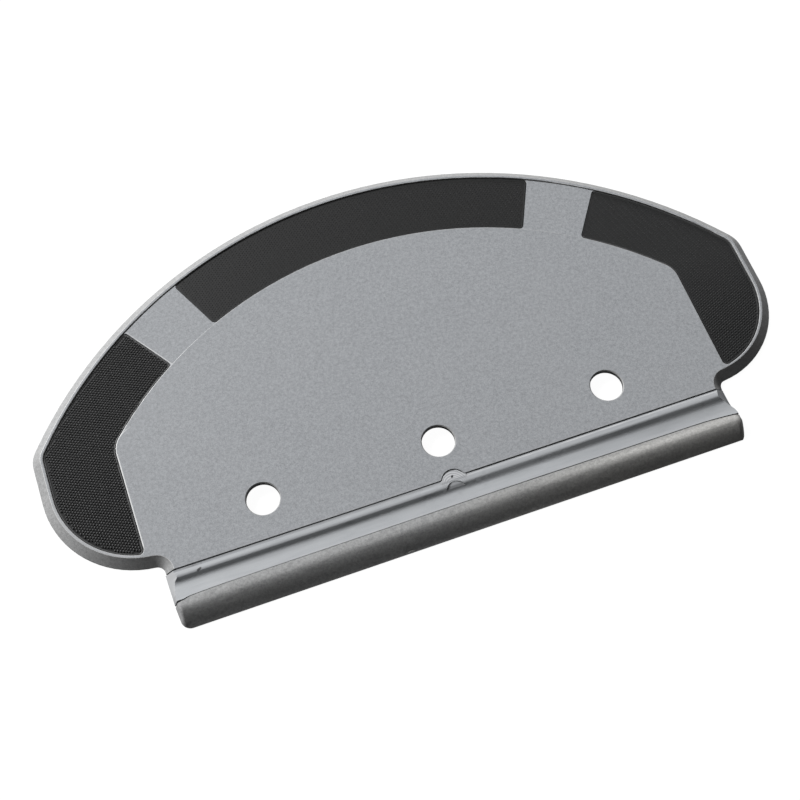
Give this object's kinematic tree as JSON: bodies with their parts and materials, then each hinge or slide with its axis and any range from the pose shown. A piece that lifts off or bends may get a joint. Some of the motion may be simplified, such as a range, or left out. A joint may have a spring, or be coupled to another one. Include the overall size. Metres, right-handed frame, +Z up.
{
  "type": "robot vacuum mop plate",
  "caption": "Flat D-shaped mop carrier plate with a curved rim, a ring of hook pads for the mop cloth, through holes, and a soft strip behind a rounded front nose.",
  "frame": {"origin": "middle of the object's box, on the surface that it rests on", "axes": "+X along the straight nose edge, +Y from the nose towards the curved rim, +Z up out of the hook-pad face"},
  "size_m": [0.2804, 0.1504, 0.005],
  "materials": {
    "plate_plastic": "fine-grained matt moulding, mid grey with a faint sparkle",
    "soft_strip": "smooth satin grey soft moulding",
    "hook_tape": "black moulded hook tape with a fine diamond grid of hooks"
  },
  "bodies": {
    "root": {"base_plate": "plate_plastic", "front_strip": "soft_strip", "hook_pad_left": "hook_tape", "hook_pad_centre": "hook_tape", "hook_pad_right": "hook_tape"}
  },
  "joints": []
}
